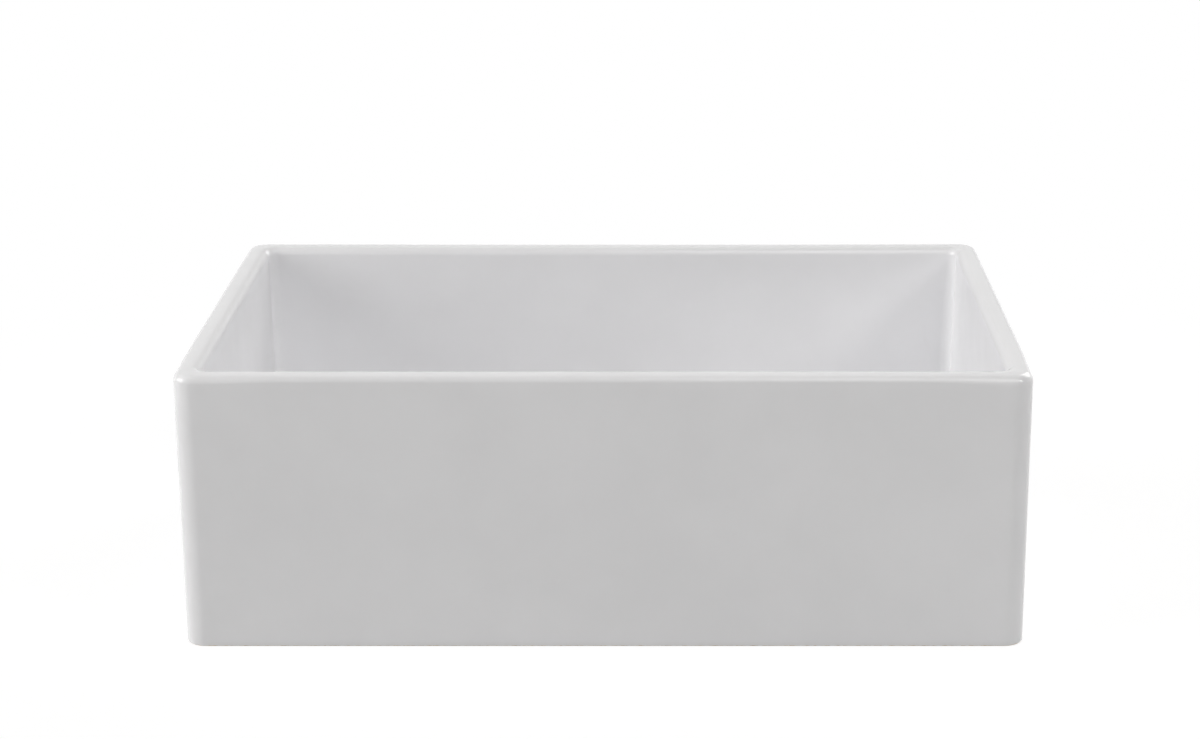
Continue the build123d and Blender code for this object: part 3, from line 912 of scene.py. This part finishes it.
# the place as (distance from the upright axis, height, x / 16) and y / 16 beside it: noise on it runs in rings
# that fade in and out along the turn, as the marks of a lathe or a spinning tool do
def lathePlace(tree):
    apart = addNode(tree, "ShaderNodeSeparateXYZ", None, {0: ownPlace(tree)})
    flat = addNode(tree, "ShaderNodeCombineXYZ", None, {0: apart.outputs[0], 1: apart.outputs[1]}).outputs[0]
    radius = addNode(tree, "ShaderNodeVectorMath", {"operation": "LENGTH"}, {0: flat}).outputs["Value"]
    across, along = (calc(tree, "MULTIPLY", apart.outputs[k], 1 / 16) for k in (0, 1))
    place = addNode(tree, "ShaderNodeCombineXYZ", None, {0: radius, 1: apart.outputs[2], 2: across})
    return place.outputs[0], along


def calc(tree, operation, first, second=None):
    node = addNode(tree, "ShaderNodeMath", {"operation": operation})
    for k, value in enumerate((first, second)):
        if isinstance(value, (int, float)):
            node.inputs[k].default_value = value
        elif value is not None:
            tree.links.new(value, node.inputs[k])
    return node.outputs[0]


# noise from 0 to 1 whose features are about so many millimetres wide
def noise(tree, place, size, detail, turn=None):
    settings = {"Scale": 1 / (size * mm), "Detail": detail}
    node = addNode(tree, "ShaderNodeTexNoise", settings, {"Vector": place})
    if turn is not None:
        node.noise_dimensions = "4D"
        tree.links.new(turn, node.inputs["W"])
    return node.outputs[0]


# a value's stretch from start to end laid over the stretch from low to high
def spread(tree, value, start, end, low, high):
    settings = {"From Min": start, "From Max": end, "To Min": low, "To Max": high}
    return addNode(tree, "ShaderNodeMapRange", settings, {"Value": value}).outputs[0]


# two colours by a share; either may be a colour or another mix
def mixColours(tree, share, first, second):
    node = addNode(tree, "ShaderNodeMix", {"data_type": "RGBA"}, {0: share})
    for k, colour in ((6, first), (7, second)):
        if isinstance(colour, str):
            node.inputs[k].default_value = hexColour(colour)
        else:
            tree.links.new(colour, node.inputs[k])
    return node.outputs[2]


# the shader takes its colour and roughness, and bumps on top of each other, each a (height pattern, real depth in
# millimetres)
def surface(tree, shader, colour, roughness, bumps):
    tree.links.new(colour, shader.inputs["Base Color"])
    tree.links.new(roughness, shader.inputs["Roughness"])
    normal = None
    for height, depth in bumps:
        node = addNode(tree, "ShaderNodeBump", {"Strength": 1.0, "Distance": depth * mm}, {"Height": height})
        if normal is not None:
            tree.links.new(normal, node.inputs["Normal"])
        normal = node.outputs[0]
    tree.links.new(normal, shader.inputs["Normal"])


# cells of a random pattern about so many millimetres wide: distance to each middle, and a random share for each
def cells(tree, place, size):
    node = addNode(tree, "ShaderNodeTexVoronoi", {"Scale": 1 / (size * mm)}, {"Vector": place})
    parted = addNode(tree, "ShaderNodeSeparateColor", None, {0: node.outputs["Color"]})
    return node.outputs["Distance"], parted.outputs[0]


glaze = {
    "whites": ("#f7f7f9", "#f4f4f6"),
    "speck": "#9b9188",
    "speckCell": 45,
    "specksLeftOut": 0.72,              # share of the cells without a speck
    "speckSize": (0.010, 0.016),        # of a cell
    "clays": ("#cbb594", "#ddcbb0", "#b89c7c"),
    "underHalf": (0.36, 0.21),          # metres from the middle to the sides of the bare underside
    "underHeight": 0.0066,
    "bareEdge": (0.0004, 0.0014),       # height of the ragged line where the glaze ends
    "glazeFade": 0.0003,
    "bareRoughness": 0.88,
}


# fireclay under an opaque white glaze, fired glossy: a clean, faintly uneven mirror over white, a few iron
# specks, and bare buff clay on the ground foot and the underside, where it stood on the kiln shelf
def glazedFireclay():
    material, tree, shader = startMaterial("glazed fireclay", {"IOR": 1.5})
    place = ownPlace(tree)
    apart = addNode(tree, "ShaderNodeSeparateXYZ", None, {0: place})
    across, along = (
        calc(tree, "DIVIDE", calc(tree, "ABSOLUTE", apart.outputs[k]), glaze["underHalf"][k]) for k in (0, 1))
    under = calc(tree, "LESS_THAN", calc(tree, "MAXIMUM", across, along), 1.0)
    ragged = spread(tree, noise(tree, place, 6, 3), 0.3, 0.7, *glaze["bareEdge"])
    limit = calc(tree, "ADD", ragged, calc(tree, "MULTIPLY", under, glaze["underHeight"]))
    bare = spread(tree, calc(tree, "SUBTRACT", limit, apart.outputs[2]), 0.0, glaze["glazeFade"], 0.0, 1.0)

    cloud = noise(tree, place, 90, 3)
    white = mixColours(tree, spread(tree, cloud, 0.35, 0.65, 0, 1), *glaze["whites"])
    distance, lot = cells(tree, place, glaze["speckCell"])
    chosen = calc(tree, "GREATER_THAN", lot, glaze["specksLeftOut"])
    dot = spread(tree, distance, *glaze["speckSize"], 0.75, 0.0)
    white = mixColours(tree, calc(tree, "MULTIPLY", chosen, dot), white, glaze["speck"])
    pale, sandy, scorched = glaze["clays"]
    grain = noise(tree, place, 1.1, 4)
    clayTone = mixColours(tree, spread(tree, grain, 0.3, 0.7, 0, 1), pale, sandy)
    kiln = spread(tree, noise(tree, place, 38, 3), 0.45, 0.7, 0, 0.35)
    clayTone = mixColours(tree, kiln, clayTone, scorched)

    gloss = spread(tree, noise(tree, place, 30, 2), 0.3, 0.7, 0.07, 0.13)
    rough = addNode(tree, "ShaderNodeMix", {3: glaze["bareRoughness"]}, {0: bare, 2: gloss})
    waviness, peel = noise(tree, place, 70, 1), noise(tree, place, 3.5, 1)
    layers = [(waviness, 0.015), (peel, 0.0012), (calc(tree, "MULTIPLY", grain, bare), 0.25)]
    surface(tree, shader, mixColours(tree, bare, white, clayTone), rough.outputs[0], layers)
    return material


# stainless sheet, pressed and spun, then polished: bright grey with fine rings and a few duller patches
def pressedStainless():
    material, tree, shader = startMaterial("pressed stainless sheet", {"Metallic": 1.0})
    place, turn = lathePlace(tree)
    rings = noise(tree, place, 0.28, 3, turn)
    broad = noise(tree, place, 2.4, 2, turn)
    handled = noise(tree, ownPlace(tree), 14, 3)
    tone = mixColours(tree, spread(tree, broad, 0.3, 0.7, 0, 1), "#c9c8c6", "#bab9b8")
    polish, smears = spread(tree, rings, 0.3, 0.7, 0.17, 0.25), spread(tree, handled, 0.5, 0.75, 0.0, 0.12)
    dents = noise(tree, ownPlace(tree), 9, 1)
    surface(tree, shader, tone, calc(tree, "ADD", polish, smears), [(dents, 0.02), (rings, 0.003)])
    return material


# stainless bar, turned on a lathe: crisp fine rings over a bright mirror
def turnedStainless():
    material, tree, shader = startMaterial("turned stainless bar", {"Metallic": 1.0})
    place, turn = lathePlace(tree)
    rings = noise(tree, place, 0.16, 2, turn)
    broad = noise(tree, place, 1.1, 2, turn)
    tone = mixColours(tree, spread(tree, broad, 0.3, 0.7, 0, 1), "#d0cfcd", "#c0bfbd")
    surface(tree, shader, tone, spread(tree, rings, 0.3, 0.7, 0.12, 0.22), [(rings, 0.003)])
    return material


# zinc, cast under pressure and left as cast: dull blue grey with a fine sandy skin and cloudy flow marks
def castZinc():
    material, tree, shader = startMaterial("die cast zinc", {"Metallic": 1.0})
    place = ownPlace(tree)
    skin = noise(tree, place, 0.5, 4)
    flow = noise(tree, place, 7, 4)
    tone = mixColours(tree, spread(tree, flow, 0.35, 0.65, 0, 1), "#a3a6a9", "#8b8e93")
    crystal = cells(tree, place, 1.6)[1]
    tone = mixColours(tree, calc(tree, "MULTIPLY", crystal, 0.18), tone, "#c3c6c9")
    layers = [(noise(tree, place, 5, 2), 0.05), (skin, 0.02)]
    surface(tree, shader, tone, spread(tree, flow, 0.3, 0.7, 0.36, 0.52), layers)
    return material


# brass tube, drawn, polished and chrome plated: a cold clear mirror with a breath of lengthwise draw lines
def chromedTube():
    material, tree, shader = startMaterial("chromed brass tube", {"Metallic": 1.0})
    place = ownPlace(tree)
    drawn = addNode(tree, "ShaderNodeMapping", {"Scale": (1, 1, 0.02)}, {"Vector": place}).outputs[0]
    lines = noise(tree, drawn, 0.35, 2)
    film = noise(tree, place, 18, 3)
    tone = mixColours(tree, spread(tree, film, 0.35, 0.65, 0, 1), "#dee0e3", "#d2d4d8")
    haze, draw = spread(tree, film, 0.45, 0.75, 0.04, 0.11), spread(tree, lines, 0.4, 0.7, 0.0, 0.02)
    surface(tree, shader, tone, calc(tree, "ADD", haze, draw), [(lines, 0.001)])
    return material


# black rubber, moulded and vulcanised: near black, satin, with a fine grain and a dusty grey bloom
def mouldedRubber():
    material, tree, shader = startMaterial("moulded black rubber", {"IOR": 1.52})
    place = ownPlace(tree)
    bloom = spread(tree, noise(tree, place, 11, 4), 0.45, 0.75, 0.0, 0.5)
    tone = mixColours(tree, bloom, "#1c1c1d", "#3a3a3a")
    surface(tree, shader, tone, spread(tree, bloom, 0.0, 0.5, 0.5, 0.72), [(noise(tree, place, 0.4, 3), 0.02)])
    return material


# vulcanised fibre, punched from sheet: dull brick red with pale and dark fibres in it
def vulcanisedFibre():
    material, tree, shader = startMaterial("vulcanised red fibre", {"IOR": 1.5})
    place = ownPlace(tree)
    laid = addNode(tree, "ShaderNodeMapping", {"Scale": (0.2, 1, 1)}, {"Vector": place}).outputs[0]
    crossed = addNode(tree, "ShaderNodeMapping", {"Scale": (1, 0.2, 1)}, {"Vector": place}).outputs[0]
    first, second = noise(tree, laid, 0.4, 3), noise(tree, crossed, 0.4, 3)
    tone = mixColours(tree, spread(tree, first, 0.4, 0.65, 0, 1), "#8a3a2b", "#9c4a38")
    tone = mixColours(tree, spread(tree, second, 0.55, 0.7, 0, 0.6), tone, "#6f2b20")
    surface(tree, shader, tone, spread(tree, first, 0.3, 0.7, 0.62, 0.78), [(first, 0.03), (second, 0.03)])
    return material


# polyethylene, injection moulded: milky white, waxy and slightly see-through at its thin edges
def mouldedPolyethylene():
    cloudy = {"Subsurface Weight": 0.35, "Subsurface Radius": (1.0, 0.95, 0.85), "Subsurface Scale": 0.002}
    material, tree, shader = startMaterial("moulded polyethylene", {"IOR": 1.51, **cloudy})
    place = ownPlace(tree)
    flow = noise(tree, place, 6, 3)
    tone = mixColours(tree, spread(tree, flow, 0.35, 0.65, 0, 1), "#efefe9", "#e4e4dc")
    layers = [(flow, 0.02), (noise(tree, place, 0.6, 2), 0.008)]
    surface(tree, shader, tone, spread(tree, flow, 0.3, 0.7, 0.34, 0.46), layers)
    return material


# plumbers putty, kneaded and squeezed out by the flange: dull beige, lumpy, with dust stuck to its edge
def plumbersPutty():
    material, tree, shader = startMaterial("plumbers putty", {"IOR": 1.48})
    place = ownPlace(tree)
    lumps, dust = noise(tree, place, 3, 4), noise(tree, place, 0.5, 3)
    tone = mixColours(tree, spread(tree, lumps, 0.35, 0.65, 0, 1), "#d3cab5", "#c2b79e")
    tone = mixColours(tree, spread(tree, dust, 0.62, 0.72, 0, 0.6), tone, "#8d836f")
    surface(tree, shader, tone, spread(tree, lumps, 0.3, 0.7, 0.66, 0.84), [(lumps, 0.15), (dust, 0.04)])
    return material


def dress(piece, material):
    piece.data.materials.clear()
    piece.data.materials.append(material)


finishes = {
    "fireclay_glaze": glazedFireclay(),
    "stainless_sheet": pressedStainless(),
    "turned_steel": turnedStainless(),
    "zinc_casting": castZinc(),
    "chromed_tube": chromedTube(),
    "black_rubber": mouldedRubber(),
    "red_fibre": vulcanisedFibre(),
    "white_polyethylene": mouldedPolyethylene(),
    "putty": plumbersPutty(),
}
for piece, finish in seated:
    dress(piece, finishes[finish])
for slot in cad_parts["strainer_spider"].material_slots:    # the one node that stays as the CAD made it
    slot.material = finishes["stainless_sheet"]
print("materials on", len(seated) + 1, "pieces")


# 1 for camera, mirror and see-through rays, 0 for the light that falls on things
def seenDirectly(tree):
    path = addNode(tree, "ShaderNodeLightPath")
    seen = calc(tree, "ADD", path.outputs["Is Camera Ray"], path.outputs["Is Glossy Ray"])
    return calc(tree, "MINIMUM", calc(tree, "ADD", seen, path.outputs["Is Transmission Ray"]), 1.0)


def mixShaders(tree, share, first, second):
    return addNode(tree, "ShaderNodeMixShader", None, {0: share, 1: first, 2: second}).outputs[0]


# the floor's sizes are in millimetres; the shadow's reach and the lamps' places and sizes are in metres
studio = {
    "floorColours": ("#cdcdcd", "#cbcbcb"),
    "floorHole": 130,
    "floorReach": 8000,
    "floorSpokes": 96,
    "floorRings": 24,
    "floorDrop": 0.3,
    "floorLift": 0.55,
    "shadowShare": 0.3,
    "shadowReach": (0.55, 1.1),
    "worldLight": 0.02,
    "lampColour": "#fffefc",
    "aim": (0, 0, 0.18),
    "lamps": {
        "left": {"at": (-5.1, 0, 1.94), "size": 1.8, "power": 40},
        "frontLeft": {"at": (-4.9, -1.31, 2.03), "size": 2.6, "power": 127},
        "overLeft": {"at": (-3.47, 0, 4.32), "size": 4.0, "power": 44},
        "frontTop": {"at": (1.47, -3.15, 4.32), "size": 3.2, "power": 69},
        "right": {"at": (3.58, -2.51, 3.35), "size": 1.4, "power": 55},
        "backRight": {"at": (3.31, 3.31, 2.88), "size": 3.2, "power": 115},
    },
}


# a pale matt floor with a hole for the waste pipe, a hair under the foot so that the two share no plane. The
# eye sees it lifted to white, with a share of the object's shadow left in it that runs out a metre from the sink
def layFloor():
    angle = np.linspace(0, 2 * math.pi, studio["floorSpokes"] + 1)[:-1]
    reach = studio["floorReach"] - studio["floorHole"]
    radius = studio["floorHole"] + reach * np.linspace(0, 1, studio["floorRings"]) ** 2
    flat = np.stack([np.outer(radius, np.cos(angle)), np.outer(radius, np.sin(angle))], -1)
    drop = np.full_like(flat[..., :1], -studio["floorDrop"])
    floor = gridPiece("studio_floor", np.concatenate([flat, drop], -1))
    material, tree, shader = startMaterial("pale studio floor", {"Roughness": 0.8})
    place = ownPlace(tree)
    grain = spread(tree, noise(tree, place, 25, 3), 0.3, 0.7, 0, 1)
    tree.links.new(mixColours(tree, grain, *studio["floorColours"]), shader.inputs["Base Color"])
    away = addNode(tree, "ShaderNodeVectorMath", {"operation": "LENGTH"}, {0: place}).outputs["Value"]
    share = spread(tree, away, *studio["shadowReach"], studio["shadowShare"], 0.0)
    lift = addNode(tree, "ShaderNodeEmission", {"Color": (1, 1, 1, 1), "Strength": studio["floorLift"]})
    lifted = addNode(tree, "ShaderNodeAddShader", None, {0: shader.outputs[0], 1: lift.outputs[0]})
    white = addNode(tree, "ShaderNodeEmission", {"Color": (1, 1, 1, 1), "Strength": 1.0})
    toEye = mixShaders(tree, share, white.outputs[0], lifted.outputs[0])
    whole = mixShaders(tree, seenDirectly(tree), shader.outputs[0], toEye)
    tree.links.new(whole, tree.nodes["Material Output"].inputs["Surface"])
    dress(floor, material)


def lightStudio():
    world = bpy.data.worlds.new("studio")
    bpy.context.scene.world = world
    world.use_nodes = True
    tree = world.node_tree
    tree.nodes.clear()
    around = addNode(tree, "ShaderNodeBackground", {"Color": (1, 1, 1, 1), "Strength": studio["worldLight"]})
    white = addNode(tree, "ShaderNodeBackground", {"Color": (1, 1, 1, 1), "Strength": 1.0})
    whole = mixShaders(tree, seenDirectly(tree), around.outputs[0], white.outputs[0])
    addNode(tree, "ShaderNodeOutputWorld", None, {"Surface": whole})
    for name, lamp in studio["lamps"].items():
        light = bpy.data.lights.new("softbox_" + name, "AREA")
        light.size = lamp["size"]
        light.energy = lamp["power"]
        light.color = hexColour(studio["lampColour"])[:3]
        box = bpy.data.objects.new("softbox_" + name, light)
        box.location = lamp["at"]
        towards = Vector(studio["aim"]) - Vector(lamp["at"])
        box.rotation_euler = towards.to_track_quat("-Z", "Y").to_euler()
        bpy.context.scene.collection.objects.link(box)


# the photo's camera, from the sink's edges: focal length and middle in pixels of a 1200 wide frame
photo = {
    "width": 1200,
    "focal": 2466.0,
    "pitch": 17.834,
    "at": (0.05102, -2.28047, 0.92396),
    "centreX": 661.06,
    "sensor": 36.0,
}


def placeCamera():
    camera = bpy.data.cameras.new("photo_camera")
    camera.sensor_fit = "HORIZONTAL"
    camera.sensor_width = photo["sensor"]
    camera.lens = photo["focal"] / photo["width"] * photo["sensor"]
    camera.shift_x = (photo["width"] / 2 - photo["centreX"]) / photo["width"]
    camera.clip_end = 50
    holder = bpy.data.objects.new("photo_camera", camera)
    holder.location = photo["at"]
    holder.rotation_euler = (math.radians(90 - photo["pitch"]), 0, 0)
    bpy.context.scene.collection.objects.link(holder)
    bpy.context.scene.camera = holder


layFloor()
lightStudio()
placeCamera()
bpy.context.scene.view_settings.view_transform = "Standard"
print("studio ready")
